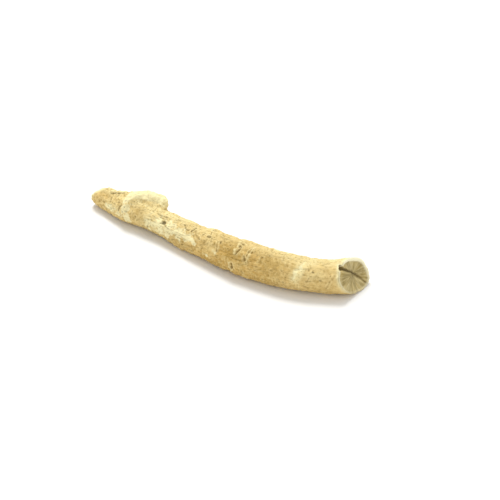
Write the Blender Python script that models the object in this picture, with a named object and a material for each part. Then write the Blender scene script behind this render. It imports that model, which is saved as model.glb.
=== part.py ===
"""One dried ashwagandha root, cut at both ends, as it lies on a surface.

Metres, +Z up. +X runs along the root from its thin end to its thick end, and the origin is the bottom
centre of its bounding box. The root bows towards -Y. An angle round the root is in degrees from its top,
and positive angles turn towards -Y.
"""

import math

import bmesh
import bpy
from mathutils import Vector, noise

MM = 0.001

# The centreline, one station every STATION_STEP from FIRST_STATION: how far it bows sideways, the
# radius of the root there, and how far its underside clears the surface, all in millimetres.
FIRST_STATION = -63.0
STATION_STEP = 9.0
BOW = (7.2, 4.9, 2.8, 0.8, -0.1, -0.9, -2.2, -3.4, -4.3, -4.6, -4.3, -2.8, 1.0, 6.1, 11.8)
RADIUS = (3.6, 4.0, 4.2, 4.45, 4.4, 4.55, 4.85, 5.2, 5.7, 5.9, 5.75, 5.65, 5.5, 5.85, 5.9)
CLEARANCE = (0.6, 0.4, 0.0, 0.4, 0.6, 0.4, 0.2, 0.1, 0.0, 0.0, 0.3, 0.3, 0.0, 0.0, 0.0)

# Each knife cut: where the centreline meets it, how far it leans from square, and the angle round
# the root that its face is turned to.
THICK_CUT = {"x": 52.6, "end": 1, "lean": 41.5, "faces": 52.0, "worn": 0.15, "worn_length": 0.8}
THIN_CUT = {"x": -50.2, "end": -1, "lean": 28.0, "faces": -42.0, "worn": 0.45, "worn_length": 1.2}
CUT_REACH = 22.0
CUT_TRIES = 6
BARK = 0.55
FACE_DISH = 0.45
FACE_LOOPS = (1.0, 0.68, 0.36)
FACE_ROUGH = 0.16
FACE_GRAIN = 0.9

# The skin: how far it is from round, as lobes that wind along the root, its swells and lengthwise
# folds, the flare at the thick cut and the rings that only go part of the way round. A swell or fold
# is a height in millimetres, its length along the root and how many times it changes round it.
SIDES = 48
ROWS = 96
LOBES = ((2, 0.02, 15.0), (3, 0.014, -11.0))
SWELL = (0.32, 9.0, 0.9)
FOLD = (0.42, 21.0, 3.1)
FOLD_START = 7.0
FLARE = 0.35
FLARE_LENGTH = 3.6
RINGS = ((-9.5, 0.12), (7.0, 0.14), (15.6, 0.22), (20.0, 0.16), (36.8, 0.2), (44.5, 0.1))
RING_WIDTH = 1.1
RING_WANDER = 1.2
RING_FADE = 0.4
MERGE = 0.01

# Scars and knots on the skin: x, angle, half-length along the root, half-length round it, height.
MARKS = (
    (-43.5, 28.0, 4.5, 2.2, -0.5),
    (-41.0, 44.0, 1.6, 0.7, -0.3),
    (-35.6, 58.0, 0.9, 2.0, -0.45),
    (-33.2, 84.0, 1.7, 4.0, 0.6),
    (-39.5, 96.0, 6.0, 1.2, 0.25),
    (-27.0, -28.0, 5.0, 3.2, 1.8),
    (-15.9, 46.9, 0.9, 0.8, -0.9),
    (-19.0, 55.0, 1.6, 0.8, -0.25),
    (-13.0, 60.0, 1.8, 0.6, 0.25),
    (-10.0, -24.0, 8.0, 0.8, 0.3),
    (-8.0, -4.0, 7.0, 0.8, 0.32),
    (-4.6, 24.0, 1.3, 1.2, -0.3),
    (-5.2, 8.0, 1.2, 1.6, 0.28),
    (3.0, -28.0, 1.7, 2.2, 0.5),
    (3.7, 16.0, 1.2, 1.0, -0.25),
    (15.9, 24.0, 0.7, 2.4, 0.25),
    (20.1, 28.0, 0.7, 2.4, 0.25),
    (14.2, 88.0, 0.8, 1.7, 0.45),
    (15.6, 92.0, 0.6, 1.2, -0.3),
    (30.5, -70.0, 1.3, 1.7, 0.45),
    (-12.5, -95.0, 1.2, 1.5, 0.4),
    (22.5, -130.0, 1.6, 1.6, -0.35),
    (13.0, 180.0, 9.0, 2.6, -0.3),
    (47.0, 125.0, 7.0, 2.8, 0.5),
    (54.0, -165.0, 5.0, 3.0, 0.6),
)

# Side shoots, each a run of points: x, angle, height of its middle over the skin, its radius.
# The first grows out of a collar on the front of the root and bends back along its top.
STUB = (
    (-32.9, 96.0, -2.4, 1.6),
    (-33.2, 60.0, -1.3, 2.1),
    (-33.9, 18.0, -0.1, 2.25),
    (-33.0, -6.0, 0.4, 2.4),
    (-30.9, -22.0, 0.85, 2.35),
    (-28.0, -32.0, 1.1, 2.2),
    (-25.0, -36.0, 1.6, 2.1),
    (-22.4, -37.5, 1.95, 2.1),
    (-21.3, -37.5, 2.0, 1.8),
    (-20.8, -37.5, 1.9, 1.0),
)
STRAND = (
    (-47.0, 4.0, -0.8, 0.6),
    (-44.0, -5.0, -0.1, 0.75),
    (-41.0, -17.0, 0.1, 0.9),
    (-38.0, -26.0, 0.3, 1.2),
    (-34.5, -36.0, 0.8, 1.5),
    (-31.0, -46.0, 1.5, 1.4),
    (-29.8, -48.0, 1.8, 0.8),
)
SHOOT_SIDES = 18
SHOOT_STEPS = 3
SHOOT_ROUGH = 0.22
SHOOT_GRAIN = 0.55

# The drying crack in the thick cut, point by point across its face: the distance from the middle
# towards the near rim, the distance up the face, the width and the depth.
CRACK = (
    (6.9, 1.9, 0.8, 0.3),
    (6.2, 2.0, 2.4, 1.4),
    (5.3, 2.1, 1.9, 2.2),
    (4.1, 1.9, 0.9, 2.4),
    (0.8, 1.1, 0.7, 2.2),
    (-2.1, 0.1, 0.65, 2.0),
    (-4.7, -1.2, 0.6, 1.6),
    (-6.9, -2.9, 0.35, 0.5),
)
CRACK_CLEAR = 1.5

# Where the root meets the surface: a stretch of its length at each end and one in the bow.
CONTACTS = ((-50.0, -41.0), (5.0, 22.0), (43.0, 52.0))
FOOT_DEPTH = 0.4

BARK_COLOUR = (0.62, 0.46, 0.24, 1.0)
WOOD_COLOUR = (0.60, 0.49, 0.28, 1.0)
ROUGHNESS = 0.85
SHARP_EDGE = math.radians(42.0)


def clear_scene():
    for obj in list(bpy.data.objects):
        bpy.data.objects.remove(obj)


def along(values, x):
    """The station values read at x, on a smooth curve through all of them."""
    station = min(max((x - FIRST_STATION) / STATION_STEP, 0.0), len(values) - 1.0)
    left = min(int(station), len(values) - 2)
    part = station - left
    a, b, c, d = (values[min(max(left + i, 0), len(values) - 1)] for i in (-1, 0, 1, 2))
    slope_b, slope_c = (c - a) / 2, (d - b) / 2
    return (
        b * (1 + 2 * part) * (1 - part) ** 2
        + slope_b * part * (1 - part) ** 2
        + c * part**2 * (3 - 2 * part)
        - slope_c * part**2 * (1 - part)
    )


def hill(distance, half_width):
    """A smooth bump: 1 at its middle, nearly 0 two half-widths away."""
    return math.exp(-((distance / half_width) ** 2))


def directions(x):
    """Along the root, towards its front and up, at x."""
    step = 0.5
    slope = (along(BOW, x + step) - along(BOW, x - step)) / (2 * step)
    forward = Vector((1.0, slope, 0.0)).normalized()
    return forward, Vector((forward.y, -forward.x, 0.0)), Vector((0.0, 0.0, 1.0))


def centre(x):
    return Vector((x, along(BOW, x), along(RADIUS, x) + along(CLEARANCE, x)))


def skin_height(x, angle):
    """How far the skin lies from the centreline at x, in the direction of an angle in radians."""
    radius = along(RADIUS, x)
    around = Vector((0.0, math.cos(angle), math.sin(angle)))
    height = radius + FLARE * hill(x - THICK_CUT["x"], FLARE_LENGTH)
    for lobes, share, turn_length in LOBES:
        height += radius * share * math.cos(lobes * angle + x / turn_length)
    for (raised, length, changes), start in ((SWELL, 0.0), (FOLD, FOLD_START)):
        height += raised * noise.noise(Vector((x / length + start, 0.0, 0.0)) + changes * around)
    for at, raised in RINGS:
        wander = RING_WANDER * noise.noise(Vector((at, 0.0, 0.0)) + around)
        fade = 1 - RING_FADE + RING_FADE * math.cos(2 * angle + at)
        height += raised * fade * hill(x - at - wander, RING_WIDTH)
    for at, turn, half_length, half_round, raised in MARKS:
        off = (math.degrees(angle) - turn + 180.0) % 360.0 - 180.0
        height += raised * hill(x - at, half_length) * hill(math.radians(off) * radius, half_round)
    return height


def place(x, angle, over=0.0):
    """The point that lies over the skin at x and at an angle in radians."""
    _, front, up = directions(x)
    outward = front * math.sin(angle) + up * math.cos(angle)
    return centre(x) + outward * (skin_height(x, angle) + over)


def cut_axes(cut):
    """The cut's middle, its normal, the way to the rim that leans back, and the way up its face."""
    forward, front, up = directions(cut["x"])
    lean, faces = math.radians(cut["lean"]), math.radians(cut["faces"])
    turned = front * math.sin(faces) + up * math.cos(faces)
    outward = forward * cut["end"]
    normal = outward * math.cos(lean) + turned * math.sin(lean)
    to_rim = turned * math.cos(lean) - outward * math.sin(lean)
    return centre(cut["x"]), normal, to_rim, to_rim.cross(normal)


def cut_x(cut, angle):
    """Where the skin at this angle meets the cut."""
    middle, normal, _, _ = cut_axes(cut)
    x = cut["x"]
    for _ in range(CUT_TRIES):
        x -= (place(x, angle) - middle).dot(normal) / (cut["end"] * math.cos(math.radians(cut["lean"])))
    return x


def skin_x(share, thin_x, thick_x):
    """Spreads the rows of the skin: they lean with each cut and stand square between the two."""
    x = THIN_CUT["x"] + share * (THICK_CUT["x"] - THIN_CUT["x"])
    near_thin = max(0.0, 1 - (x - THIN_CUT["x"]) / CUT_REACH) ** 2
    near_thick = max(0.0, 1 - (THICK_CUT["x"] - x) / CUT_REACH) ** 2
    return x + near_thin * (thin_x - THIN_CUT["x"]) + near_thick * (thick_x - THICK_CUT["x"])


def close_cut(bm, rim, cut):
    """Closes one end of the skin with a cut: a thin rim of bark round a dished, uneven face of wood."""
    middle, normal, _, _ = cut_axes(cut)
    reach = {vert: (vert.co - middle).length for edge in rim for vert in edge.verts}
    outer = dict(reach)
    wood = set()
    for share in FACE_LOOPS:
        old_faces = set(bm.faces)
        made = bmesh.ops.extrude_edge_only(bm, edges=rim)["geom"]
        loop = {v for v in made if isinstance(v, bmesh.types.BMVert)}
        rim = [e for e in made if isinstance(e, bmesh.types.BMEdge) and set(e.verts) <= loop]
        inner = {}
        for vert in loop:
            before = next(e.other_vert(vert) for e in vert.link_edges if e.other_vert(vert) in outer)
            inner[vert] = outer[before]
            vert.co = middle + (before.co - middle).normalized() * (outer[before] - BARK) * share
        outer = inner
        reach.update(inner)
        if share < 1:
            wood.update(set(bm.faces) - old_faces)
    last = bmesh.ops.contextual_create(bm, geom=rim)["faces"]
    wood.update(bmesh.ops.poke(bm, faces=last)["faces"])
    for vert in {v for face in wood for v in face.verts}:
        off = (vert.co - middle).length / reach.get(vert, along(RADIUS, cut["x"]))
        rough = FACE_ROUGH * noise.noise(vert.co * FACE_GRAIN)
        vert.co -= normal * (FACE_DISH * max(0.0, 1 - off**2) + rough)
    for face in wood:
        face.material_index = 1


def make_body():
    """The root itself: a sheet wrapped round the centreline and closed by its two cuts."""
    bm = bmesh.new()
    grid = bmesh.ops.create_grid(bm, x_segments=ROWS, y_segments=SIDES, size=0.5)
    edges_of_cuts = {}
    for vert in grid["verts"]:
        turn = round((vert.co.y + 0.5) * SIDES) % SIDES
        angle = 2 * math.pi * turn / SIDES
        if turn not in edges_of_cuts:
            edges_of_cuts[turn] = (cut_x(THIN_CUT, angle), cut_x(THICK_CUT, angle))
        thin_x, thick_x = edges_of_cuts[turn]
        x = skin_x(vert.co.x + 0.5, thin_x, thick_x)
        worn = THIN_CUT["worn"] * hill(x - thin_x, THIN_CUT["worn_length"])
        worn += THICK_CUT["worn"] * hill(x - thick_x, THICK_CUT["worn_length"])
        vert.co = place(x, angle, -worn)
    bmesh.ops.remove_doubles(bm, verts=bm.verts, dist=MERGE)
    for cut in (THIN_CUT, THICK_CUT):
        rim = [e for e in bm.edges if e.is_boundary and e.verts[0].co.x * cut["end"] > 0]
        close_cut(bm, rim, cut)
    bmesh.ops.recalc_face_normals(bm, faces=bm.faces)
    return mesh_object("ashwagandha_root", bm)


def make_shoot(name, points):
    """A side shoot that hugs the root: a round curve with a rough skin, sunk into the root at its start."""
    curve = bpy.data.curves.new(name, "CURVE")
    curve.dimensions = "3D"
    curve.bevel_depth = 1.0
    curve.bevel_resolution = SHOOT_SIDES // 2 - 2
    curve.use_fill_caps = True
    curve.resolution_u = SHOOT_STEPS
    spline = curve.splines.new("NURBS")
    spline.points.add(len(points) - 1)
    spline.order_u = 4
    spline.use_endpoint_u = True
    for point, (x, turn, over, radius) in zip(spline.points, points):
        point.co = (*place(x, math.radians(turn), over), 1.0)
        point.radius = radius
    guide = bpy.data.objects.new(name, curve)
    bm = bmesh.new()
    bm.from_mesh(guide.to_mesh())
    guide.to_mesh_clear()
    bpy.data.objects.remove(guide)
    bmesh.ops.remove_doubles(bm, verts=bm.verts, dist=MERGE)
    bmesh.ops.recalc_face_normals(bm, faces=bm.faces)
    bm.normal_update()
    for vert in bm.verts:
        vert.co += vert.normal * SHOOT_ROUGH * noise.noise(vert.co * SHOOT_GRAIN)
    return mesh_object(name, bm)


def make_crack():
    """The cutter for the drying crack: a V-shaped blade that wanders across the thick cut."""
    middle, normal, to_rim, up_face = cut_axes(THICK_CUT)
    bm = bmesh.new()
    sections = []
    for rimward, upward, width, depth in CRACK:
        on_face = middle + to_rim * rimward + up_face * upward
        half = up_face * width / 2
        top = on_face + normal * CRACK_CLEAR
        spread = 1 + (CRACK_CLEAR + FACE_DISH) / (depth + FACE_DISH)
        foot = on_face - normal * (depth + FACE_DISH)
        sections.append([bm.verts.new(p) for p in (top + half * spread, top - half * spread, foot)])
    for near, far in zip(sections, sections[1:]):
        for i in range(3):
            bm.faces.new((near[i], near[i - 1], far[i - 1], far[i]))
    bm.faces.new(sections[0])
    bm.faces.new(reversed(sections[-1]))
    bmesh.ops.recalc_face_normals(bm, faces=bm.faces)
    for face in bm.faces:
        face.material_index = 1
    return mesh_object("crack_cutter", bm)


def mesh_object(name, bm):
    mesh = bpy.data.meshes.new(name)
    bm.to_mesh(mesh)
    bm.free()
    for finish in (finish_named("bark", BARK_COLOUR), finish_named("cut_wood", WOOD_COLOUR)):
        mesh.materials.append(finish)
    obj = bpy.data.objects.new(name, mesh)
    bpy.context.scene.collection.objects.link(obj)
    return obj


def finish_named(name, colour):
    found = bpy.data.materials.get(name)
    if found:
        return found
    material = bpy.data.materials.new(name)
    material.use_nodes = True
    shader = material.node_tree.nodes["Principled BSDF"]
    shader.inputs["Base Color"].default_value = colour
    shader.inputs["Roughness"].default_value = ROUGHNESS
    shader.inputs["Metallic"].default_value = 0.0
    return material


def combine(body, operation, other):
    """Joins the other object to the body, or cuts it out, and removes it."""
    modifier = body.modifiers.new(other.name, "BOOLEAN")
    modifier.operation = operation
    modifier.solver = "EXACT"
    modifier.object = other
    bpy.context.view_layer.update()
    evaluated = body.evaluated_get(bpy.context.evaluated_depsgraph_get())
    joined = bpy.data.meshes.new_from_object(evaluated)
    body.modifiers.clear()
    body.data = joined
    bpy.data.objects.remove(other)


def lowest_points(bm):
    """The lowest vertex in each stretch where the root meets the surface."""
    return [
        min((v.co for v in bm.verts if low < v.co.x < high), key=lambda co: co.z).copy()
        for low, high in CONTACTS
    ]


def settle(bm):
    """Turns the root until its three lowest points are level, then wears a small flat foot at each."""
    for _ in range(3):
        thin, bow, thick = lowest_points(bm)
        normal = (bow - thin).cross(thick - thin)
        level = normal.rotation_difference(Vector((0, 0, math.copysign(1, normal.z))))
        bmesh.ops.rotate(bm, verts=bm.verts, cent=bow, matrix=level.to_matrix())
    floor = max(point.z for point in lowest_points(bm)) + FOOT_DEPTH
    for vert in bm.verts:
        vert.co.z = max(vert.co.z, floor)


def stand_on_origin(bm):
    """Puts the bottom centre of the bounding box at the origin."""
    low = Vector([min(v.co[i] for v in bm.verts) for i in range(3)])
    high = Vector([max(v.co[i] for v in bm.verts) for i in range(3)])
    middle = (low + high) / 2
    bmesh.ops.translate(bm, verts=bm.verts, vec=(-middle.x, -middle.y, -low.z))


def main():
    clear_scene()
    body = make_body()
    combine(body, "UNION", make_shoot("strand", STRAND))
    combine(body, "UNION", make_shoot("stub", STUB))
    combine(body, "DIFFERENCE", make_crack())
    bm = bmesh.new()
    bm.from_mesh(body.data)
    settle(bm)
    stand_on_origin(bm)
    bmesh.ops.triangulate(bm, faces=bm.faces)
    bmesh.ops.scale(bm, verts=bm.verts, vec=(MM, MM, MM))
    bm.to_mesh(body.data)
    bm.free()
    body.data.shade_smooth()
    body.data.set_sharp_from_angle(angle=SHARP_EDGE)


main()
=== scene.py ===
import random
from math import atan2, cos, degrees, exp, hypot, radians, sin

import bmesh
import bpy
from mathutils import Matrix, Vector, noise
from mathutils.bvhtree import BVHTree
from mathutils.kdtree import KDTree


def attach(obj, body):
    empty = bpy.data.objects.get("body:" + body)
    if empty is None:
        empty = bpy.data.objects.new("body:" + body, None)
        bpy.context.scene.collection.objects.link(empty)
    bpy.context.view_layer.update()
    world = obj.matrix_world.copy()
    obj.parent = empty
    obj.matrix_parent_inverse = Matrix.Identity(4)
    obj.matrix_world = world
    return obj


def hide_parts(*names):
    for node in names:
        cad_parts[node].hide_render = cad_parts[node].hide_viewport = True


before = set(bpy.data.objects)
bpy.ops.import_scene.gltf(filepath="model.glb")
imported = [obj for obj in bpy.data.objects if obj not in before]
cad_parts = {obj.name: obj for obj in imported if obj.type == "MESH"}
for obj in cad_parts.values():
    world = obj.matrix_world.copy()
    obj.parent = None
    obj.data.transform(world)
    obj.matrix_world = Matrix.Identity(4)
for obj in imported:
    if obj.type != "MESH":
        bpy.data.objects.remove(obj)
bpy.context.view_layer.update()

# The root as it grew: a bowed length of taproot with a side shoot on its top, one solid of dry bark
# over wood. Its mesh is the CAD node's, turned back from how the root lies to how it grew, in
# millimetres, so that every mark on it can be given by its place along and round the root.
MM = 0.001
FIRST_STATION = -63.0
STATION_STEP = 9.0
BOW = (7.2, 4.9, 2.8, 0.8, -0.1, -0.9, -2.2, -3.4, -4.3, -4.6, -4.3, -2.8, 1.0, 6.1, 11.8)
HEIGHT = (4.2, 4.4, 4.2, 4.85, 5.0, 4.95, 5.05, 5.3, 5.7, 5.9, 6.05, 5.95, 5.5, 5.85, 5.9)
DOUBLES = 0.001
grown_to_lying = (
    Matrix.Translation((-1.45, -0.92, -0.17))
    @ Matrix.Rotation(radians(-0.26), 4, "Y")
    @ Matrix.Rotation(radians(2.2), 4, "X")
)


def along_root(values, x):
    """The station values read at x, on a smooth curve through all of them."""
    station = min(max((x - FIRST_STATION) / STATION_STEP, 0.0), len(values) - 1.0)
    left = min(int(station), len(values) - 2)
    part = station - left
    a, b, c, d = (values[min(max(left + i, 0), len(values) - 1)] for i in (-1, 0, 1, 2))
    from_b = b * (1 + 2 * part) * (1 - part) ** 2 + (c - a) / 2 * part * (1 - part) ** 2
    to_c = c * part**2 * (3 - 2 * part) - (d - b) / 2 * part**2 * (1 - part)
    return from_b + to_c


def heart(x):
    """The middle of the root at x."""
    return Vector((x, along_root(BOW, x), along_root(HEIGHT, x)))


def directions(x):
    """Along the root, towards its front and up, at x."""
    forward = (heart(x + 0.5) - heart(x - 0.5)) * Vector((1, 1, 0))
    forward.normalize()
    return forward, Vector((forward.y, -forward.x, 0.0)), Vector((0.0, 0.0, 1.0))


def outward_at(x, turn):
    """The way out of the root at x, at an angle in degrees from its top towards its front."""
    _, front, up = directions(x)
    return front * sin(radians(turn)) + up * cos(radians(turn))


def lie_of(point):
    """Where a point lies: its x, and how far it is from the root's heart to the front and up."""
    _, front, up = directions(point.x)
    off = point - heart(point.x)
    return Vector((point.x, off.dot(front), off.dot(up)))


def hill(distance, half_width):
    """A smooth bump: 1 at its middle, nearly 0 two half-widths away."""
    return exp(-((distance / half_width) ** 2))


def kept(value, low=0.0, high=1.0):
    """A value held between two limits."""
    return min(high, max(low, value))


cad_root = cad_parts["ashwagandha_root"]
root = bpy.data.objects.new("dried_root", cad_root.data.copy())
bpy.context.scene.collection.objects.link(root)
skin = bmesh.new()
skin.from_mesh(root.data)
bmesh.ops.remove_doubles(skin, verts=skin.verts, dist=DOUBLES * MM)
bmesh.ops.scale(skin, verts=skin.verts, vec=(1 / MM, 1 / MM, 1 / MM))
bmesh.ops.transform(skin, verts=skin.verts, matrix=grown_to_lying.inverted())

# The side shoot's broken end: the bark healed over it in small knobs that fill the gap between the
# shoot and the root. They are balls, sunk into both, that the remesh fuses into one even skin. The
# skin is fine enough to carry the wrinkles, and the valley beside the shoot is then worn soft.
SHOOT_KNOBS = (
    (-21.0, -34.0, 5.7, 1.2),
    (-20.9, -41.0, 6.4, 1.0),
    (-22.2, -29.0, 5.8, 1.1),
    (-21.0, -34.0, 7.7, 0.7),
)
SKIN_STEP = 0.236
VALLEY = {"x": (-31.5, -20.5), "turn": (-26.0, 12.0)}
VALLEY_PASSES = 50
for x, turn, out, radius in SHOOT_KNOBS:
    middle = Matrix.Translation(heart(x) + outward_at(x, turn) * out)
    bmesh.ops.create_icosphere(skin, subdivisions=3, radius=radius, matrix=middle)
skin.to_mesh(root.data)
skin.free()
even_skin = root.modifiers.new("even_skin", "REMESH")
even_skin.mode = "VOXEL"
even_skin.voxel_size = SKIN_STEP
bpy.context.view_layer.update()
remeshed = root.evaluated_get(bpy.context.evaluated_depsgraph_get())
root.data = bpy.data.meshes.new_from_object(remeshed)
root.modifiers.clear()
root.data.materials.clear()
skin = bmesh.new()
skin.from_mesh(root.data)


def soften(verts, passes):
    """Smooths some of the skin a number of times."""
    every_way = {"use_axis_x": True, "use_axis_y": True, "use_axis_z": True}
    for _ in range(passes):
        bmesh.ops.smooth_vert(skin, verts=verts, factor=0.5, **every_way)


valley_verts = []
for vert in skin.verts:
    if VALLEY["x"][0] < vert.co.x < VALLEY["x"][1]:
        _, front, up = lie_of(vert.co)
        if VALLEY["turn"][0] < degrees(atan2(front, up)) < VALLEY["turn"][1]:
            valley_verts.append(vert)
soften(valley_verts, VALLEY_PASSES)
skin.normal_update()

# The two knife cuts: each leaves a face of khaki wood inside a thin pale rim of bark, and the thick
# one has split across as it dried, with a short fork at the wide end of the crack. Here the points of
# wood are told from those of bark, and each learns how far it is from the rim.
THICK_CUT = {"x": 52.6, "end": 1, "lean": 41.5, "faces": 52.0}
THIN_CUT = {"x": -50.2, "end": -1, "lean": 28.0, "faces": -42.0}
CRACK = ((6.9, 1.9), (5.3, 2.1), (4.1, 1.9), (0.8, 1.1), (-2.1, 0.1), (-4.7, -1.2), (-6.9, -2.9))
CUT_REACH = 11.0
FACE_DEPTH = 1.3
FACE_TURN = 0.75
CRACK_DEPTH = 3.4
CRACK_SPREAD = 1.3
CRACK_REACH = 7.0
CRACK_SHADE_WIDTH = 0.4
WELL_CLEAR = 20.0
RIM_REACH = 2.4
NEAR_A_CUT = 40.0
wood_of = skin.verts.layers.int.new("wood_of")
rim_gap = skin.verts.layers.float.new("rim_gap")
# This mask darkens hollows, furrows, scars and the crack, as dust and as painted shade.
shade_and_dust = skin.verts.layers.float.new("shade_and_dust")
pale = skin.verts.layers.float.new("pale")
browned_and_shaded = skin.verts.layers.float.new("browned_and_shaded")
faded_and_toplit = skin.verts.layers.float.new("faded_and_toplit")
rim_and_highlight = skin.verts.layers.float.new("rim_and_highlight")
wear_and_highlight = skin.verts.layers.float.new("wear_and_highlight")
mottled = skin.verts.layers.float.new("mottled")
grain = skin.verts.layers.float_vector.new("grain")


def cut_axes(cut):
    """The cut's middle, its normal, the way to the rim that leans back, and the way up its face."""
    forward, front, up = directions(cut["x"])
    lean, faces = radians(cut["lean"]), radians(cut["faces"])
    turned = front * sin(faces) + up * cos(faces)
    outward = forward * cut["end"]
    normal = outward * cos(lean) + turned * sin(lean)
    to_rim = turned * cos(lean) - outward * sin(lean)
    return heart(cut["x"]), normal, to_rim, to_rim.cross(normal)


def gap_to_line(point, line):
    """How far a flat point lies from a line of flat points."""
    gaps = []
    for start, end in zip(line, line[1:]):
        run = end - start
        share = kept((point - start).dot(run) / run.length_squared)
        gaps.append((start + run * share - point).length)
    return min(gaps)


crack_line = [Vector(point) for point in CRACK]
for number, cut in ((1, THICK_CUT), (2, THIN_CUT)):
    middle, normal, to_rim, up_face = cut_axes(cut)
    for vert in skin.verts:
        off = vert.co - middle
        depth = -off.dot(normal)
        if depth > CRACK_DEPTH or off.length > CUT_REACH:
            continue
        on_face = Vector((off.dot(to_rim), off.dot(up_face)))
        crack_gap = gap_to_line(on_face, crack_line) if number == 1 else WELL_CLEAR
        in_crack = crack_gap < CRACK_SPREAD and on_face.length < CRACK_REACH
        if in_crack or (depth < FACE_DEPTH and vert.normal.dot(normal) > FACE_TURN):
            vert[wood_of] = number
            # Painted shade: the crack's line is darkened.
            vert[shade_and_dust] = hill(crack_gap, CRACK_SHADE_WIDTH)

rim_tree = KDTree(len(skin.edges))
for edge in skin.edges:
    if edge.verts[0][wood_of] != edge.verts[1][wood_of]:
        rim_tree.insert((edge.verts[0].co + edge.verts[1].co) / 2, edge.index)
rim_tree.balance()
for vert in skin.verts:
    vert[rim_gap] = RIM_REACH
    if abs(vert.co.x) > NEAR_A_CUT:
        vert[rim_gap] = min(RIM_REACH, rim_tree.find(vert.co)[2])

bark_verts = [v for v in skin.verts if not v[wood_of]]
wood_verts = [v for v in skin.verts if v[wood_of]]
RIM_KEPT = 0.6
CURLED_RIM = 1.1
CURLED_FROM = 2.6
RIM_PASSES = 18
BARK_PASSES = 12
SKIN_PASSES = 3
middle, _, _, up_face = cut_axes(THICK_CUT)
upper_rim = []
for vert in skin.verts:
    by_thick_rim = vert[rim_gap] < CURLED_RIM and vert.co.x > NEAR_A_CUT
    if by_thick_rim and (vert.co - middle).dot(up_face) > CURLED_FROM:
        upper_rim.append(vert)
soften(upper_rim, RIM_PASSES)
soften([v for v in bark_verts if v[rim_gap] > RIM_KEPT], BARK_PASSES)
soften(skin.verts, SKIN_PASSES)
skin.normal_update()

# The bark: a thin dry skin that wrinkled as the root lost its water. Folds, furrows, pinches across
# them and lumps are raised from noise that follows the root's bow. ROUGHNESS and FADING are read at
# the stations: how wrinkled the skin is there, and how much the sun has paled it.
ROUGHNESS = (1.2, 1.25, 1.2, 1.1, 1.0, 1.1, 1.1, 1.1, 1.1, 1.1, 1.05, 0.9, 0.75, 0.7, 0.7)
FADING = (0.3, 0.3, 0.3, 0.4, 0.45, 0.38, 0.28, 0.1, 0.0, 0.0, 0.1, 0.25, 0.3, 0.3, 0.3)
# Painted highlight: the root's top is painted paler by this amount, over the real fading.
TOP_PAINTED_LIGHT = 0.55
TOP_TURN = -25.0
TOP_FROM = 0.5
TOP_FULL = 0.4
FOLD = {"along": 9.0, "round": 1.3, "height": 0.10}
FURROW = {"width": 0.12, "depth": 0.12}
PINCH = {"along": 1.1, "round": 2.6, "width": 0.14, "depth": 0.10, "start": 9.0}
FOLDED_PATCH = {"along": 11.0, "round": 4.0}
LUMPS = ((0.25, 2.6), (0.22, 1.1), (0.08, 0.55))
SHOOT_LUMPS = ((0.36, 1.7), (0.16, 0.7))
# Painted highlight: the side shoot's top and front are painted pale cream over its own pale bark.
SHOOT_PALE_AND_HIGHLIGHT = 0.8
SHOOT_TAN_TURN = -62.0
SHOOT_PALE_OVER = 32.0
SHOOT_END = -19.0
SHOOT_FROM = 5.7
SMOOTH_BY_RIM = 1.5
# Furrows and pinches are darkened by this share, as dust and as painted shade.
FOLD_SHADE_AND_DUST = 0.4


def wound(lie, along, round_, start=0.0):
    """Noise that is longer or shorter along the root than round it."""
    return noise.noise(Vector((lie.x / along, lie.y / round_, lie.z / round_ + start)))


for vert in bark_verts:
    lie = lie_of(vert.co)
    rough = along_root(ROUGHNESS, lie.x)
    on_shoot = kept(hypot(lie.y, lie.z) - SHOOT_FROM) if lie.x < SHOOT_END else 0.0
    wrinkled = rough * (1 - on_shoot) * min(1.0, vert[rim_gap] / SMOOTH_BY_RIM)
    folded = kept(0.5 + wound(lie, FOLDED_PATCH["along"], FOLDED_PATCH["round"]))
    fold = wound(lie, FOLD["along"], FOLD["round"])
    furrow = folded * max(0.0, 1 - abs(fold) / FURROW["width"]) ** 2
    crossing = wound(lie, PINCH["along"], PINCH["round"], PINCH["start"])
    pinch = (1 - folded) * max(0.0, 1 - abs(crossing) / PINCH["width"]) ** 2
    height = wrinkled * (FOLD["height"] * fold - FURROW["depth"] * furrow - PINCH["depth"] * pinch)
    for lump_height, lump_size in LUMPS:
        shift = Vector((lump_size, 0.0, 0.0))
        height += lump_height * rough * noise.noise(vert.co / lump_size + shift)
    for lump_height, lump_size in SHOOT_LUMPS:
        height += lump_height * on_shoot * noise.noise(vert.co / lump_size)
    vert.co += vert.normal * height
    vert[grain] = lie
    # Dust and painted shade in the furrows and pinches.
    vert[shade_and_dust] = FOLD_SHADE_AND_DUST * wrinkled * max(furrow, pinch)
    vert[mottled] = rough
    from_top = atan2(lie.y, lie.z) - radians(TOP_TURN)
    topmost = kept((cos(from_top) - TOP_FROM) / TOP_FULL)
    # Real fading along the root, plus a painted highlight along its top.
    vert[faded_and_toplit] = along_root(FADING, lie.x) + TOP_PAINTED_LIGHT * topmost
    # Painted highlight on the shoot's top and front; its back is left tan.
    towards_front = kept((degrees(atan2(lie.y, lie.z)) - SHOOT_TAN_TURN) / SHOOT_PALE_OVER)
    vert[pale] = SHOOT_PALE_AND_HIGHLIGHT * on_shoot * towards_front

# Scars on the bark: slits and pits pressed along a line of places, each x and angle from the top
# towards the front, with a half-width, a depth, a raised lip and how much dirt and painted shade
# darken them. The first ones are where the photograph shows them, and others are scattered over
# the whole root.
PATH_STEP = 0.16
UNEVEN = 0.8
UNEVEN_SIZE = 0.7
PRESS_REACH = 3.2
LIP_OFF = 2.0
LIP_WIDTH = 0.7
LIP_PALING = 4.0
bark_form = BVHTree.FromBMesh(skin)
bark_tree = KDTree(len(skin.verts))
skin.verts.ensure_lookup_table()
for vert in skin.verts:
    bark_tree.insert(vert.co, vert.index)
bark_tree.balance()


def on_skin(x, turn):
    """The point of the skin at x, at an angle in degrees from the root's top towards its front."""
    outward = outward_at(x, turn)
    return bark_form.ray_cast(heart(x) + outward * WELL_CLEAR, -outward)[0]


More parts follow.
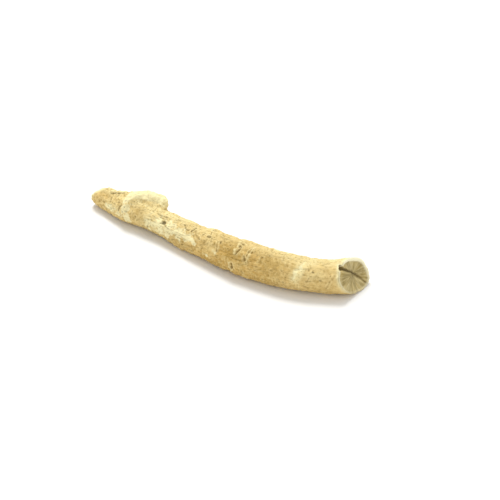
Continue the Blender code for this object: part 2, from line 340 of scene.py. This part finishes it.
def path_on_skin(places):
    """Points along a line on the skin, close enough together to press an unbroken furrow."""
    laid = []
    for (x, turn), (next_x, next_turn) in zip(places, places[1:]):
        run = (on_skin(next_x, next_turn) - on_skin(x, turn)).length
        steps = max(1, int(run / PATH_STEP))
        for i in range(steps):
            share = i / steps
            laid.append(on_skin(x + (next_x - x) * share, turn + (next_turn - turn) * share))
    laid.append(on_skin(*places[-1]))
    return laid


def press(places, half_width, depth, lip, shade_and_dirt):
    """Sinks a furrow into the skin along a line of places, with a raised lip beside it. The furrow is
    darkened as dirt and painted shade, the lip painted paler as wear and painted highlight.
    """
    nearest = {}
    for point in path_on_skin(places):
        width = half_width * (1 + UNEVEN * noise.noise(point / UNEVEN_SIZE))
        for _, index, gap in bark_tree.find_range(point, PRESS_REACH * width):
            nearest[index] = min(gap / width, nearest.get(index, WELL_CLEAR))
    for index, widths in nearest.items():
        vert = skin.verts[index]
        sunk = hill(widths, 1.0)
        raised = hill(widths - LIP_OFF, LIP_WIDTH)
        vert.co += vert.normal * (lip * raised - depth * sunk)
        # Dirt and painted shade darken the sunk furrow.
        vert[shade_and_dust] = max(vert[shade_and_dust], shade_and_dirt * sunk)
        # Wear and painted highlight: the raised lip is painted paler.
        vert[wear_and_highlight] = max(vert[wear_and_highlight], LIP_PALING * lip * raised)


def raise_ridge(places, half_width, rise, paling):
    """Raises a rounded ridge along a line of places, painted paler along its top as wear and as painted
    highlight.
    """
    nearest = {}
    for point in path_on_skin(places):
        width = half_width * (1 + UNEVEN * noise.noise(point / UNEVEN_SIZE))
        for _, index, gap in bark_tree.find_range(point, PRESS_REACH * width):
            nearest[index] = min(gap / width, nearest.get(index, WELL_CLEAR))
    for index, widths in nearest.items():
        vert = skin.verts[index]
        vert.co += vert.normal * rise * hill(widths, 1.0)
        vert[wear_and_highlight] = max(vert[wear_and_highlight], paling * hill(widths, 1.0))


SCARS = (
    (((-42.1, 26.0), (-41.5, 38.0), (-41.3, 51.0)), 0.32, 0.22, 0.06, 0.55),
    (((-35.6, 33.0), (-35.8, 44.0), (-36.2, 51.0)), 0.34, 0.32, 0.08, 0.8),
    (((-36.1, 60.0), (-36.1, 73.0)), 0.34, 0.32, 0.08, 0.8),
    (((-43.6, 8.0), (-42.0, -4.0), (-40.0, -9.0), (-38.2, -16.0)), 0.25, 0.2, 0.0, 0.75),
    (((-32.0, -18.0), (-30.6, -31.0), (-30.2, -44.0)), 0.26, 0.16, 0.1, 0.3),
    (((-27.4, -40.0), (-26.0, -46.0)), 0.3, 0.2, 0.1, 0.35),
    (((-24.6, -26.0), (-23.2, -30.0), (-22.8, -37.0)), 0.24, 0.14, 0.1, 0.25),
    (((-22.9, 54.0), (-21.3, 53.0), (-19.8, 53.0)), 0.25, 0.14, 0.05, 0.4),
    (((-17.4, 49.0), (-16.8, 45.0)), 0.3, 0.25, 0.05, 0.8),
    (((-16.3, 39.0), (-16.1, 39.5)), 0.4, 0.8, 0.12, 2.0),
    (((-15.4, 50.0), (-13.1, 54.0)), 0.22, 0.14, 0.08, 0.6),
    (((-13.4, 45.0), (-12.2, 42.0)), 0.25, 0.14, 0.05, 0.4),
    (((-20.3, 12.0), (-18.0, 12.0), (-16.0, 10.0)), 0.25, 0.14, 0.06, 0.6),
    (((-18.8, 21.0), (-16.9, 22.0), (-15.7, 19.0)), 0.25, 0.14, 0.06, 0.6),
    (((-15.0, 0.0), (-11.0, -1.0), (-7.0, -4.0)), 0.3, 0.14, 0.0, 0.2),
    (((-14.0, -18.0), (-9.0, -15.0)), 0.3, 0.14, 0.0, 0.2),
    (((-8.0, 11.0), (-7.6, 13.0)), 0.25, 0.2, 0.06, 0.8),
    (((-7.2, 18.0), (-6.9, 20.0)), 0.24, 0.2, 0.06, 0.8),
    (((-6.3, 26.0), (-5.2, 25.0)), 0.26, 0.2, 0.06, 0.9),
    (((-4.8, 8.0), (-4.4, 1.0)), 0.24, 0.16, 0.05, 0.7),
    (((-3.9, 24.0), (-3.3, 16.0), (-3.1, 6.0)), 0.28, 0.26, 0.1, 1.0),
    (((-2.4, 21.0), (-1.2, 32.0), (0.6, 41.0)), 0.35, 0.16, 0.12, 0.45),
    (((1.0, 21.0), (1.7, 12.0)), 0.24, 0.16, 0.06, 0.7),
    (((3.1, 20.0), (4.2, 18.0)), 0.3, 0.24, 0.08, 1.0),
    (((3.5, 1.0), (3.8, 9.0)), 0.24, 0.16, 0.05, 0.7),
    (((2.6, -16.0), (3.8, -17.0)), 0.3, 0.2, 0.1, 0.8),
    (((8.0, 28.0), (8.3, 44.0), (8.6, 58.0)), 0.3, 0.14, 0.1, 0.3),
    (((16.7, 3.0), (16.6, 6.0)), 0.34, 0.34, 0.1, 1.0),
    (((16.2, 16.0), (16.3, 18.0)), 0.34, 0.34, 0.1, 1.0),
    (((17.0, 20.0), (16.7, 32.0), (16.1, 45.0)), 0.24, 0.2, 0.1, 0.6),
    (((20.8, 10.0), (20.3, 25.0), (20.2, 40.0)), 0.22, 0.16, 0.1, 0.55),
    (((19.2, 45.0), (19.7, 56.0)), 0.34, 0.3, 0.1, 0.9),
    (((15.3, 82.0), (15.5, 90.0), (15.3, 98.0)), 0.3, 0.4, 0.12, 1.0),
    (((41.1, 44.0), (41.5, 46.0)), 0.3, 0.2, 0.0, 0.9),
    (((39.3, 77.0), (40.6, 76.0)), 0.25, 0.12, 0.0, 0.45),
    (((38.8, 97.0), (40.0, 103.0)), 0.28, 0.16, 0.0, 0.6),
)
RIDGES = (
    (((15.2, -29.0), (15.2, -12.0), (15.2, 5.0), (15.7, 18.0)), 0.45, 0.24, 0.7),
    (((15.4, 34.0), (15.5, 42.0)), 0.5, 0.24, 1.0),
    (((21.3, 2.0), (21.0, 12.0)), 0.4, 0.16, 0.7),
    (((20.9, 33.0), (20.6, 46.0)), 0.4, 0.18, 0.7),
    (((20.5, 54.0), (20.6, 58.0)), 0.35, 0.14, 0.7),
    (((14.4, 80.0), (14.6, 94.0), (15.3, 106.0)), 0.4, 0.25, 0.8),
    (((-18.2, -11.0), (-14.8, -8.0), (-11.1, -8.0)), 0.45, 0.22, 0.8),
    (((-11.6, -9.0), (-8.0, -19.0), (-4.8, -21.0)), 0.45, 0.22, 0.8),
    (((-18.0, 4.0), (-12.0, 2.0)), 0.45, 0.16, 0.6),
    (((1.2, -24.0), (3.4, -26.0)), 0.6, 0.35, 0.6),
    (((-2.0, 23.0), (-0.7, 33.0), (1.1, 41.0)), 0.4, 0.1, 0.3),
    (((7.2, 60.0), (8.2, 68.0)), 0.5, 0.15, 0.9),
    (((39.2, 9.0), (38.5, 37.0), (38.1, 55.0), (37.6, 73.0)), 0.7, 0.12, 0.4),
    (((-44.0, -2.0), (-42.2, -14.0), (-40.2, -19.0), (-38.0, -26.0)), 0.45, 0.22, 1.0),
)
for places, half_width, depth, lip, shade_and_dirt in SCARS:
    press(places, half_width, depth, lip, shade_and_dirt)
for places, half_width, rise, paling in RIDGES:
    raise_ridge(places, half_width, rise, paling)

SCATTER_SEED = 4
SCATTER_FROM = -48.0
SCATTER_TO = 50.0
CROSS_SCARS = {"count": 60, "half_turn": (4.0, 14.0), "slant": (-0.5, 0.5), "half_width": (0.24, 0.34)}
CROSS_PRESS = {"depth": (0.05, 0.14), "lip": 0.05, "shade_and_dirt": (0.0, 0.35)}
PITS = {"count": 260, "length": (0.1, 0.5), "turn": (-3.0, 3.0), "half_width": (0.2, 0.3)}
PIT_PRESS = {"depth": (0.05, 0.18), "lip": 0.03, "shade_and_dirt": (0.1, 0.7)}
chance = random.Random(SCATTER_SEED)
for _ in range(CROSS_SCARS["count"]):
    x = chance.uniform(SCATTER_FROM, SCATTER_TO)
    turn = chance.uniform(-180.0, 180.0)
    half_turn = chance.uniform(*CROSS_SCARS["half_turn"])
    slant = chance.uniform(*CROSS_SCARS["slant"])
    places = ((x - slant, turn - half_turn), (x, turn), (x + slant, turn + half_turn))
    half_width = chance.uniform(*CROSS_SCARS["half_width"])
    depth = chance.uniform(*CROSS_PRESS["depth"])
    press(places, half_width, depth, CROSS_PRESS["lip"], chance.uniform(*CROSS_PRESS["shade_and_dirt"]))
for _ in range(PITS["count"]):
    x = chance.uniform(SCATTER_FROM, SCATTER_TO)
    turn = chance.uniform(-180.0, 180.0)
    places = ((x, turn), (x + chance.uniform(*PITS["length"]), turn + chance.uniform(*PITS["turn"])))
    half_width = chance.uniform(*PITS["half_width"])
    depth = chance.uniform(*PIT_PRESS["depth"])
    press(places, half_width, depth, PIT_PRESS["lip"], chance.uniform(*PIT_PRESS["shade_and_dirt"]))

# Rubbed, faded and browned places: where the outer skin has worn off, the paler bark under it shows,
# a little lower and with frayed edges. Elsewhere the skin itself has faded, or old damp has browned
# it, and one browned place, in the valley under the side shoot, is painted shade. Each place is x,
# angle, half-length, half-width round the root, and how strong it is.
RUBBED = (
    (-22.5, 66.0, 3.0, 3.4, 1.0),
    (-18.0, 60.0, 3.6, 4.0, 1.15),
    (-13.5, 54.0, 3.6, 3.8, 1.15),
    (-9.0, 54.0, 3.6, 3.0, 1.1),
    (-5.0, 55.0, 2.8, 2.4, 1.1),
    (-2.0, 60.0, 1.8, 1.6, 1.0),
    (-34.0, -12.0, 2.4, 3.4, 1.2),
    (-34.0, 18.0, 2.2, 3.4, 1.2),
    (-33.4, 50.0, 2.0, 3.8, 1.2),
    (-32.2, 82.0, 2.0, 3.4, 1.1),
    (-41.0, 76.0, 4.5, 1.7, 1.0),
    (-36.5, 82.0, 2.6, 1.6, 0.85),
    (-41.5, -26.0, 4.0, 1.0, 0.9),
    (-13.0, -15.0, 7.0, 2.6, 0.4),
    (4.0, -16.0, 8.0, 1.8, 0.45),
    (26.0, -28.0, 24.0, 2.4, 0.42),
    (8.0, 66.0, 0.8, 1.3, 0.9),
    (4.2, 90.0, 1.4, 0.9, 0.85),
    (38.6, 30.0, 1.0, 2.6, 1.0),
    (37.8, 56.0, 1.0, 2.6, 1.0),
    (-8.0, 172.0, 7.0, 2.0, 0.7),
    (18.0, -118.0, 6.0, 2.2, 0.7),
    (-36.0, -140.0, 5.0, 1.8, 0.7),
)
FADED = (
    (39.4, 8.0, 1.7, 2.4, 1.0),
    (38.8, 28.0, 1.6, 2.4, 1.4),
    (38.4, 48.0, 1.5, 2.4, 1.4),
    (37.8, 66.0, 1.4, 2.0, 1.3),
    (4.5, 42.0, 3.2, 2.4, 0.5),
    (44.0, 52.0, 3.0, 1.6, 0.4),
    (-41.0, 62.0, 4.0, 2.0, 0.5),
    (-23.0, 60.0, 4.0, 4.0, 0.4),
)
BROWNED_AND_SHADED = (
    (14.0, 38.0, 5.5, 4.5, 1.0),
    (28.0, 38.0, 6.0, 4.0, 1.0),
    (27.0, 105.0, 9.0, 2.5, 0.6),
    (-27.0, 30.0, 2.6, 2.6, 0.7),
    # Painted shade in the soft valley under the side shoot.
    (-26.5, -7.0, 3.2, 1.0, 0.9),
    (-43.5, 20.0, 3.0, 2.6, 0.5),
    (-24.0, 110.0, 6.0, 1.6, 0.8),
    (-9.0, 102.0, 8.0, 1.6, 0.9),
    (8.0, 112.0, 8.0, 2.0, 0.8),
    (46.0, 106.0, 4.0, 1.6, 0.6),
    (-20.0, -140.0, 8.0, 3.0, 0.6),
    (10.0, -155.0, 8.0, 3.0, 0.6),
    (40.0, -100.0, 6.0, 3.0, 0.5),
)
FRAY = ((0.5, 1.5), (0.3, 0.7))
RUBBED_EDGE = 0.36
RUBBED_FADE = 0.55
RUBBED_DEPTH = 0.1
RIM_ON_BARK = 0.7
BROWNED_AND_SHADED_SHARE = 0.9
# Painted highlight on the bark by the cut rims: paler the more it faces up.
RIM_PAINTED_LIGHT = (0.55, 0.45)
OUT_OF_REACH = 2.5


def touched(lie, places):
    """How strongly the places in a list reach a point of the skin."""
    turn = degrees(atan2(lie.y, lie.z))
    radius = hypot(lie.y, lie.z)
    most = 0.0
    for x, at_turn, half_length, half_round, amount in places:
        if abs(lie.x - x) < OUT_OF_REACH * half_length:
            off = radians((turn - at_turn + 180.0) % 360.0 - 180.0) * radius
            most = max(most, amount * hill(lie.x - x, half_length) * hill(off, half_round))
    return most


for vert in bark_verts:
    lie = vert[grain]
    fray = sum(amount * noise.noise(vert.co / size) for amount, size in FRAY)
    paling = kept((touched(lie, RUBBED) + fray - RUBBED_EDGE) / RUBBED_FADE)
    vert.co -= vert.normal * RUBBED_DEPTH * paling * (1 - vert[pale])
    vert[pale] = max(paling, vert[pale])
    vert[faded_and_toplit] = kept(vert[faded_and_toplit] + touched(lie, FADED))
    vert[browned_and_shaded] = touched(lie, BROWNED_AND_SHADED) * kept(BROWNED_AND_SHADED_SHARE + fray)
    # Painted highlight: the bark by a cut rim is painted paler the more it faces up.
    rim_painted_light = RIM_PAINTED_LIGHT[0] + RIM_PAINTED_LIGHT[1] * vert.normal.z
    vert[rim_and_highlight] = rim_painted_light * hill(vert[rim_gap], RIM_ON_BARK)

# The cut faces: the wood's fibres tear outwards from the middle under the knife and leave fine ridges
# like rays. The bark curls over the upper edge of the wood as a paler rim, which dies out below; the
# rim is also painted brighter towards the top of the face as a painted highlight.
RAYS = {"length": 5.0, "spread": 4.0, "height": 0.22}
FACE_GRAIN = (0.08, 0.8)
RAY_FADE = 0.8
RAY_TURN = 5.0
RIM_OFF = 0.35
RIM_WIDTH = 0.32
RIM_WIDER = 0.42
RIM_HEIGHT = 0.2
RIM_HIGHER = 0.35
RIM_TURNED = 0.5
# Painted highlight: how much brighter the rim is towards the top of the face.
RIM_TOP_HIGHLIGHT = (0.6, 0.4)
FACE_HEART = 0.3
FORK = ((6.6, 1.9), (6.3, 2.7), (5.9, 3.5))
FORK_WIDTH = 0.45
FORK_DEPTH = 0.5
FACE_SUNK = 0.75
SUNK_FADE = 0.6
fork_line = [Vector(point) for point in FORK]
for number, cut in ((1, THICK_CUT), (2, THIN_CUT)):
    middle, normal, to_rim, up_face = cut_axes(cut)
    for vert in wood_verts:
        if vert[wood_of] != number:
            continue
        off = vert.co - middle
        on_face = Vector((off.dot(to_rim), off.dot(up_face)))
        reach = max(FACE_HEART, on_face.length)
        way = on_face / reach
        upper = kept(way.y - RIM_TURNED * way.x) if number == 1 else 0.0
        ray = Vector((reach / RAYS["length"], RAYS["spread"] * way.x, RAYS["spread"] * way.y))
        fork = hill(gap_to_line(on_face, fork_line), FORK_WIDTH) if number == 1 else 0.0
        height = RAYS["height"] * kept(vert[rim_gap] / RAY_FADE) * noise.noise(ray)
        height += FACE_GRAIN[0] * noise.noise(vert.co / FACE_GRAIN[1])
        past_rim = max(0.0, vert[rim_gap] - RIM_OFF - RIM_WIDER * upper)
        on_rim = (1 - fork) * hill(past_rim, RIM_WIDTH)
        height += (RIM_HEIGHT + RIM_HIGHER * upper) * on_rim
        vert.co += vert.normal * (height - FORK_DEPTH * fork)
        vert[grain] = (reach, RAY_TURN * way.x, RAY_TURN * way.y)
        # Painted highlight: the rim's colour is brighter towards the top of the face.
        vert[rim_and_highlight] = (RIM_TOP_HIGHLIGHT[0] + RIM_TOP_HIGHLIGHT[1] * way.y) * on_rim
        sunk = -off.dot(normal)
        # Painted shade: the fork and the deeper parts of the face are darkened.
        vert[shade_and_dust] = kept(max(vert[shade_and_dust], fork) + max(0.0, (sunk - FACE_SUNK) / SUNK_FADE))

# Every hollow of the skin is darkened, as dust and as painted shade, its ridges are painted paler,
# as wear and as painted highlight, and the underside is worn flat where the root rests. The skin
# then lies down as the root does, in metres.
HOLLOW_FROM = 0.04
RIDGE_FROM = 0.05
BEND_FULL = 0.3
skin.normal_update()
hollow = {}
for vert in skin.verts:
    bends = []
    for edge in vert.link_edges:
        reach = edge.other_vert(vert).co - vert.co
        bends.append(reach.normalized().dot(vert.normal))
    hollow[vert] = sum(bends) / len(bends)
for vert in skin.verts:
    near = [hollow[edge.other_vert(vert)] for edge in vert.link_edges]
    bend = (hollow[vert] + sum(near) / len(near)) / 2
    # Concave places are darkened as dust and as painted shade.
    vert[shade_and_dust] = kept(vert[shade_and_dust] + max(0.0, (bend - HOLLOW_FROM) / BEND_FULL))
    # Convex places are painted paler, as wear and as painted highlight.
    vert[wear_and_highlight] = kept(vert[wear_and_highlight] + max(0.0, (-bend - RIDGE_FROM) / BEND_FULL))

bmesh.ops.transform(skin, verts=skin.verts, matrix=grown_to_lying)
for vert in skin.verts:
    vert.co.z = max(vert.co.z, 0.0)
bmesh.ops.scale(skin, verts=skin.verts, vec=(MM, MM, MM))
for face in skin.faces:
    face.smooth = True
    face.material_index = 1 if all(v[wood_of] for v in face.verts) else 0
skin.to_mesh(root.data)
skin.free()

# The bark's finish: tan skin in uneven lengthwise streaks, spotted paler and browner, cream where it
# is rubbed or faded, with painted highlight on its top, ridges, shoot and rims, dark brown in its
# hollows as dirt and painted shade, and quite matt.
CREAM = (0.95, 0.86, 0.50, 1.0)
FADED_AND_HIGHLIT_TAN = (0.90, 0.77, 0.40, 1.0)
PALE_TAN = (0.84, 0.645, 0.275, 1.0)
TAN = (0.655, 0.418, 0.125, 1.0)
BROWN_TAN = (0.37, 0.225, 0.04, 1.0)
# Near-black brown: dirt and painted shade in the hollows and the crack.
SHADE_AND_DIRT = (0.08, 0.045, 0.007, 1.0)
DULL = 0.15
FINE_RELIEF = 0.08 * MM


def fibre_group():
    """Uneven streaks along the grain attribute: the way along the fibres and two ways across."""
    group = bpy.data.node_groups.new("fibre_streaks", "ShaderNodeTree")
    for name, value in (("Length", 5.0), ("Width", 0.5), ("Start", 0.0)):
        socket = group.interface.new_socket(name, in_out="INPUT", socket_type="NodeSocketFloat")
        socket.default_value = value
    group.interface.new_socket("Streak", in_out="OUTPUT", socket_type="NodeSocketFloat")
    nodes, links = group.nodes, group.links
    given = nodes.new("NodeGroupInput")
    result = nodes.new("NodeGroupOutput")
    lie = nodes.new("ShaderNodeAttribute")
    lie.attribute_name = "grain"
    spans = nodes.new("ShaderNodeCombineXYZ")
    links.new(given.outputs["Length"], spans.inputs["X"])
    links.new(given.outputs["Width"], spans.inputs["Y"])
    links.new(given.outputs["Width"], spans.inputs["Z"])
    stretched = nodes.new("ShaderNodeVectorMath")
    stretched.operation = "DIVIDE"
    links.new(lie.outputs["Vector"], stretched.inputs[0])
    links.new(spans.outputs["Vector"], stretched.inputs[1])
    moved = nodes.new("ShaderNodeVectorMath")
    moved.operation = "ADD"
    links.new(stretched.outputs["Vector"], moved.inputs[0])
    links.new(given.outputs["Start"], moved.inputs[1])
    streaks = nodes.new("ShaderNodeTexNoise")
    streaks.inputs["Scale"].default_value = 1.0
    streaks.inputs["Detail"].default_value = 3.0
    streaks.inputs["Roughness"].default_value = 0.6
    links.new(moved.outputs["Vector"], streaks.inputs["Vector"])
    links.new(streaks.outputs["Fac"], result.inputs["Streak"])
    return group


fibre_streaks = fibre_group()


class Finish:
    """One material, painted node by node. Each step gives back the socket that it puts out."""

    def __init__(self, name):
        self.material = bpy.data.materials.new(name)
        self.material.use_nodes = True
        self.nodes = self.material.node_tree.nodes
        self.links = self.material.node_tree.links
        self.shader = self.nodes["Principled BSDF"]
        self.shader.inputs["Specular IOR Level"].default_value = DULL
        self.place = self.nodes.new("ShaderNodeTexCoord")

    def feed(self, socket, value):
        """Sets a socket, or links it to another node's."""
        if isinstance(value, (float, tuple)):
            socket.default_value = value
        else:
            self.links.new(value, socket)

    def speckle(self, per_metre, detail=3.0):
        """Noise spots of a size, read off the root's own place."""
        spots = self.nodes.new("ShaderNodeTexNoise")
        self.feed(spots.inputs["Scale"], per_metre)
        self.feed(spots.inputs["Detail"], detail)
        self.feed(spots.inputs["Roughness"], 0.6)
        self.links.new(self.place.outputs["Object"], spots.inputs["Vector"])
        return spots.outputs["Fac"]

    def streaks(self, length, width, start):
        """Streaks along the fibres, of a length and width in millimetres."""
        found = self.nodes.new("ShaderNodeGroup")
        found.node_tree = fibre_streaks
        self.feed(found.inputs["Length"], length)
        self.feed(found.inputs["Width"], width)
        self.feed(found.inputs["Start"], start)
        return found.outputs["Streak"]

    def painted(self, name):
        """A value that the mesh carries at each point."""
        found = self.nodes.new("ShaderNodeAttribute")
        found.attribute_name = name
        return found.outputs["Fac"]

    def mask(self, value, low, high, out_low=0.0, out_high=1.0):
        """Spreads a value between two limits."""
        spread = self.nodes.new("ShaderNodeMapRange")
        spread.interpolation_type = "SMOOTHSTEP"
        self.feed(spread.inputs["From Min"], low)
        self.feed(spread.inputs["From Max"], high)
        self.feed(spread.inputs["To Min"], out_low)
        self.feed(spread.inputs["To Max"], out_high)
        self.links.new(value, spread.inputs["Value"])
        return spread.outputs["Result"]

    def combine(self, operation, first, second):
        """Adds or multiplies two values."""
        both = self.nodes.new("ShaderNodeMath")
        both.operation = operation
        self.feed(both.inputs[0], first)
        self.feed(both.inputs[1], second)
        return both.outputs["Value"]

    def times(self, first, second):
        """The product of two values."""
        return self.combine("MULTIPLY", first, second)

    def plus(self, first, second):
        """The sum of two values."""
        return self.combine("ADD", first, second)

    def tint(self, under, over, amount):
        """Lays one colour over another by a mask."""
        mix = self.nodes.new("ShaderNodeMix")
        mix.data_type = "RGBA"
        self.feed(mix.inputs["A"], under)
        self.feed(mix.inputs["B"], over)
        self.feed(mix.inputs["Factor"], amount)
        return mix.outputs["Result"]

    def finish(self, colour, roughness, relief, relief_height):
        """Feeds the colour, the roughness and a fine relief to the shader."""
        bump = self.nodes.new("ShaderNodeBump")
        self.feed(bump.inputs["Distance"], relief_height)
        self.links.new(relief, bump.inputs["Height"])
        self.links.new(colour, self.shader.inputs["Base Color"])
        self.links.new(roughness, self.shader.inputs["Roughness"])
        self.links.new(bump.outputs["Normal"], self.shader.inputs["Normal"])


bark = Finish("dry_bark")
blotches = bark.mask(bark.speckle(260.0), low=0.38, high=0.62)
light_spots = bark.mask(bark.speckle(650.0), low=0.44, high=0.66)
dark_spots = bark.mask(bark.speckle(1000.0), low=0.50, high=0.70)
lines = bark.mask(bark.streaks(5.0, 0.45, 3.0), low=0.40, high=0.66)
dark_lines = bark.mask(bark.streaks(3.5, 0.35, 11.0), low=0.52, high=0.70)
grit = bark.speckle(3200.0, 2.0)
# Faded bark, with a painted highlight along the root's top.
colour = bark.tint(TAN, FADED_AND_HIGHLIT_TAN, bark.painted("faded_and_toplit"))
colour = bark.tint(colour, BROWN_TAN, bark.times(blotches, 0.2))
colour = bark.tint(colour, PALE_TAN, bark.times(lines, 0.3))
colour = bark.tint(colour, PALE_TAN, bark.times(light_spots, 0.65))
colour = bark.tint(colour, BROWN_TAN, bark.times(dark_lines, 0.4))
# Browned bark, and painted shade in the valley under the side shoot.
colour = bark.tint(colour, BROWN_TAN, bark.times(bark.painted("browned_and_shaded"), 0.5))
colour = bark.tint(colour, BROWN_TAN, bark.times(dark_spots, bark.times(bark.painted("mottled"), 0.62)))
# Ridges and lips paler, as wear and as painted highlight.
colour = bark.tint(colour, FADED_AND_HIGHLIT_TAN, bark.times(bark.painted("wear_and_highlight"), 0.75))
frayed = bark.plus(bark.painted("pale"), bark.times(bark.speckle(900.0), 0.6))
# Cream where the bark is rubbed, and as painted highlight on the side shoot.
rubbed_and_highlit = bark.times(bark.mask(frayed, low=0.45, high=1.25), bark.mask(lines, 0.0, 1.0, 0.72, 0.97))
colour = bark.tint(colour, CREAM, rubbed_and_highlit)
# Dirt and painted shade in the hollows.
colour = bark.tint(colour, SHADE_AND_DIRT, bark.times(bark.painted("shade_and_dust"), 0.65))
# Pale bark rim by the cuts, painted brighter where it faces up as a painted highlight.
colour = bark.tint(colour, CREAM, bark.painted("rim_and_highlight"))
bark_relief = bark.plus(grit, bark.times(lines, 0.6))
bark.finish(colour, bark.mask(grit, 0.3, 0.7, 0.95, 0.75), bark_relief, FINE_RELIEF)

# The cut wood's finish: khaki end grain in rays and broad sectors, darker in the crack and the
# deeper parts of the face as painted shade, paler where torn fibres catch the light.
KHAKI = (0.52, 0.39, 0.14, 1.0)
DARK_KHAKI = (0.27, 0.195, 0.06, 1.0)
PALE_KHAKI = (0.78, 0.66, 0.36, 1.0)
# Brighter than cream: the curled rim's own colour with a painted highlight.
CURLED_CREAM_HIGHLIGHT = (1.0, 0.94, 0.66, 1.0)
wood = Finish("cut_wood")
sectors = wood.mask(wood.streaks(30.0, 3.0, 2.0), low=0.40, high=0.60)
rays = wood.mask(wood.streaks(7.0, 1.6, 1.0), low=0.36, high=0.64)
fine_rays = wood.mask(wood.streaks(3.0, 0.5, 7.0), low=0.40, high=0.62)
wood_grit = wood.speckle(2600.0, 2.0)
colour = wood.tint(KHAKI, PALE_KHAKI, wood.times(sectors, 0.55))
colour = wood.tint(colour, DARK_KHAKI, wood.times(rays, 0.8))
colour = wood.tint(colour, PALE_KHAKI, wood.times(fine_rays, 0.4))
# Painted shade in the crack, the fork and the sunk parts of the face.
colour = wood.tint(colour, SHADE_AND_DIRT, wood.times(wood.painted("shade_and_dust"), 0.6))
# The curled rim, with a painted highlight towards the top.
colour = wood.tint(colour, CURLED_CREAM_HIGHLIGHT, wood.painted("rim_and_highlight"))
wood_relief = wood.plus(wood_grit, fine_rays)
wood.finish(colour, wood.mask(wood_grit, 0.3, 0.7, 0.95, 0.8), wood_relief, FINE_RELIEF)

root.data.materials.append(bark.material)
root.data.materials.append(wood.material)
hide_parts("ashwagandha_root")
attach(root, "root")

# The floor: plain white paper that reaches past every edge of the picture. It is lit until it is as
# bright as the ground of the photograph.
FLOOR_SIZE = 1.5
PAPER_WHITE = (0.9, 0.9, 0.89, 1.0)
PAPER_ROUGHNESS = 0.9
paper = bmesh.new()
bmesh.ops.create_grid(paper, x_segments=1, y_segments=1, size=FLOOR_SIZE)
floor = bpy.data.objects.new("floor", bpy.data.meshes.new("floor"))
bpy.context.scene.collection.objects.link(floor)
paper.to_mesh(floor.data)
paper.free()
white_floor = bpy.data.materials.new("white_floor")
white_floor.use_nodes = True
white_floor.node_tree.nodes["Principled BSDF"].inputs["Base Color"].default_value = PAPER_WHITE
white_floor.node_tree.nodes["Principled BSDF"].inputs["Roughness"].default_value = PAPER_ROUGHNESS
floor.data.materials.append(white_floor)

# The light: a wide soft lamp high up, behind and to the left, in a white room that fills the shadows.
# It makes the root's top bright and leaves the cut face, which turns away from it, in the room's light.
LAMP_SIZE = 0.3
LAMP_POWER = 3.4
LAMP_PLACE = Vector((-0.24, 0.22, 0.66))
ROOM_LIGHT = 0.82
ROOM_WHITE = (1.0, 1.0, 1.0, 1.0)
light = bpy.data.lights.new("soft_lamp", "AREA")
light.shape = "DISK"
light.size = LAMP_SIZE
light.energy = LAMP_POWER
lamp = bpy.data.objects.new("soft_lamp", light)
bpy.context.scene.collection.objects.link(lamp)
lamp.location = LAMP_PLACE
lamp.rotation_euler = LAMP_PLACE.to_track_quat("Z", "Y").to_euler()
room = bpy.data.worlds.new("white_room")
room.use_nodes = True
room.node_tree.nodes["Background"].inputs["Color"].default_value = ROOM_WHITE
room.node_tree.nodes["Background"].inputs["Strength"].default_value = ROOM_LIGHT
bpy.context.scene.world = room
bpy.context.scene.view_settings.view_transform = "Standard"

# The camera: the photograph's view, from the root's front right and 35 degrees above the floor. The
# thick cut face looks towards it.
AIM = Vector((0.0102, 0.0061, 0.0))
AZIMUTH = radians(31.4)
ELEVATION = radians(35.0)
DISTANCE = 0.410
FOCAL_LENGTH = 85.0
SENSOR_WIDTH = 36.0
NEAREST = 0.01
back = Vector((sin(AZIMUTH) * cos(ELEVATION), -cos(AZIMUTH) * cos(ELEVATION), sin(ELEVATION)))
lens = bpy.data.cameras.new("camera")
lens.lens = FOCAL_LENGTH
lens.sensor_width = SENSOR_WIDTH
lens.clip_start = NEAREST
camera = bpy.data.objects.new("camera", lens)
bpy.context.scene.collection.objects.link(camera)
camera.location = AIM + DISTANCE * back
camera.rotation_euler = back.to_track_quat("Z", "Y").to_euler()
bpy.context.scene.camera = camera
